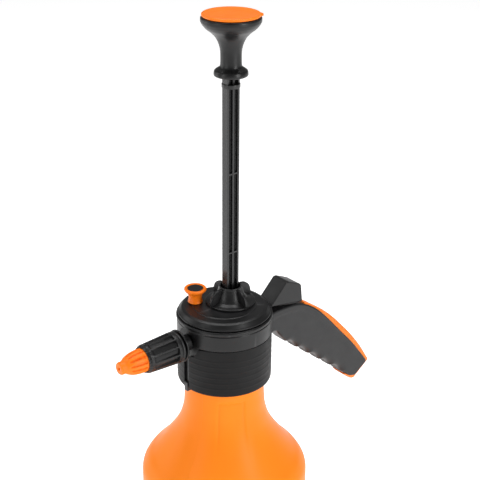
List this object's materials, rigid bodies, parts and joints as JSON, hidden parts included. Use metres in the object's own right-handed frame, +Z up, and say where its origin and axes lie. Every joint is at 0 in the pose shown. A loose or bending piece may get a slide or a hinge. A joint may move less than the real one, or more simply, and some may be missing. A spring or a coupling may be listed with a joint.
{
  "type": "hand-held pressure sprayer",
  "caption": "Hand-held pump-up pressure sprayer: moulded bottle, screwed head with side grip and thumb trigger, ribbed pump rod with round knob, relief valve and turning nozzle.",
  "frame": {"origin": "centre of the bottle's flat base, on the surface that it stands on", "axes": "+Z up along the bottle's axis, +X towards the grip, -X towards the nozzle, +Y to the side of the relief valve"},
  "size_m": [0.2507, 0.1302, 0.4785],
  "materials": {
    "bottle_orange": "satin blow-moulded polyethylene",
    "orange_plastic": "satin moulded plastic",
    "black_plastic": "satin moulded plastic",
    "soft_black": "matte soft grip with fine ribs",
    "seal_rubber": "matte sealing rubber",
    "natural_plastic": "uncoloured moulded plastic",
    "steel": "bright stainless"
  },
  "bodies": {
    "bottle": {"bottle": "bottle_orange"},
    "neck_seal": {"neck_gasket": "seal_rubber"},
    "head": {"head_body": "black_plastic", "head_top_cover": "black_plastic", "grip_band": "soft_black", "grip_shell_left": "black_plastic", "grip_shell_right": "black_plastic", "grip_back_insert": "orange_plastic", "grip_screw_1": "steel", "grip_screw_2": "steel", "grip_screw_3": "steel", "trigger_pin": "steel", "trigger_spring": "steel", "rocker_pin": "steel", "valve_body": "natural_plastic", "valve_cap": "natural_plastic", "valve_spring": "steel", "dip_tube": "natural_plastic", "strainer": "black_plastic", "nozzle_spigot": "black_plastic", "swirl_insert": "natural_plastic", "relief_spring": "steel"},
    "nut_seal": {"nut_gasket": "seal_rubber"},
    "pump_barrel": {"pump_nut": "black_plastic", "pump_cylinder": "black_plastic", "check_valve": "seal_rubber", "rod_guide_bush": "natural_plastic"},
    "pump_piston": {"piston": "natural_plastic", "piston_o_ring": "seal_rubber"},
    "plunger": {"pump_rod": "black_plastic", "pump_knob": "black_plastic", "pump_knob_cap": "orange_plastic"},
    "relief": {"relief_knob": "orange_plastic", "relief_insert": "black_plastic", "relief_stem": "natural_plastic", "relief_seal": "seal_rubber"},
    "trigger": {"trigger_lever": "black_plastic"},
    "rocker": {"valve_rocker": "black_plastic"},
    "outlet_valve": {"valve_stem": "steel", "valve_seal": "seal_rubber"},
    "nozzle_seal": {"nozzle_o_ring": "seal_rubber"},
    "nozzle": {"nozzle_sleeve": "black_plastic", "nozzle_tip": "orange_plastic"}
  },
  "joints": [
    {"name": "head_rise", "type": "slide", "parent": "bottle", "child": "neck_seal", "axis": [0, 0, 1], "range_m": [0, 0.006]},
    {"name": "head_turn", "type": "hinge", "parent": "neck_seal", "child": "head", "pos_m": [0, 0, 0.226], "axis": [0, 0, 1], "range_deg": [0, 545]},
    {"name": "nut_rise", "type": "slide", "parent": "head", "child": "nut_seal", "axis": [0, 0, 1], "range_m": [0, 0.0016]},
    {"name": "nut_turn", "type": "hinge", "parent": "nut_seal", "child": "pump_barrel", "pos_m": [0.0057, 0, 0.26], "axis": [0, 0, 1], "range_deg": [0, 195]},
    {"name": "pump_stroke", "type": "slide", "parent": "pump_barrel", "child": "pump_piston", "axis": [0, 0, 1], "range_m": [-0.159, 0]},
    {"name": "plunger_spin", "type": "hinge", "parent": "pump_piston", "child": "plunger", "pos_m": [0.0057, 0, 0.35], "axis": [0, 0, 1], "continuous": true},
    {"name": "relief_pull", "type": "slide", "parent": "head", "child": "relief", "axis": [0, 0, 1], "range_m": [0, 0.0035], "stiffness_N_per_m": 600, "springref_m": -0.003, "deforming": ["relief_spring"]},
    {"name": "trigger_press", "type": "hinge", "parent": "head", "child": "trigger", "pos_m": [0.067, 0, 0.2455], "axis": [0, -1, 0], "range_deg": [0, 5], "stiffness_Nm_per_rad": 3, "springref_deg": -3.44, "deforming": ["trigger_spring"]},
    {"name": "rocker_tilt", "type": "hinge", "parent": "head", "child": "rocker", "pos_m": [0.0057, -0.0205, 0.2452], "axis": [0, 1, 0], "range_deg": [0, 7]},
    {"name": "valve_lift", "type": "slide", "parent": "head", "child": "outlet_valve", "axis": [0, 0, 1], "range_m": [0, 0.0034], "deforming": ["valve_spring"]},
    {"name": "nozzle_advance", "type": "slide", "parent": "head", "child": "nozzle_seal", "axis": [-1, 0, 0], "range_m": [0, 0.0015]},
    {"name": "nozzle_turn", "type": "hinge", "parent": "nozzle_seal", "child": "nozzle", "pos_m": [-0.06, 0, 0.2395], "axis": [-1, 0, 0], "range_deg": [0, 362]}
  ],
  "couplings": [
    {"joint": "head_turn", "follows": "head_rise", "rad_per_m": 1570.8},
    {"joint": "nut_turn", "follows": "nut_rise", "rad_per_m": 2094.4},
    {"joint": "rocker_tilt", "follows": "trigger_press", "ratio": 1.376},
    {"joint": "valve_lift", "follows": "trigger_press", "m_per_rad": 0.0385},
    {"joint": "nozzle_turn", "follows": "nozzle_advance", "rad_per_m": 4188.8}
  ]
}
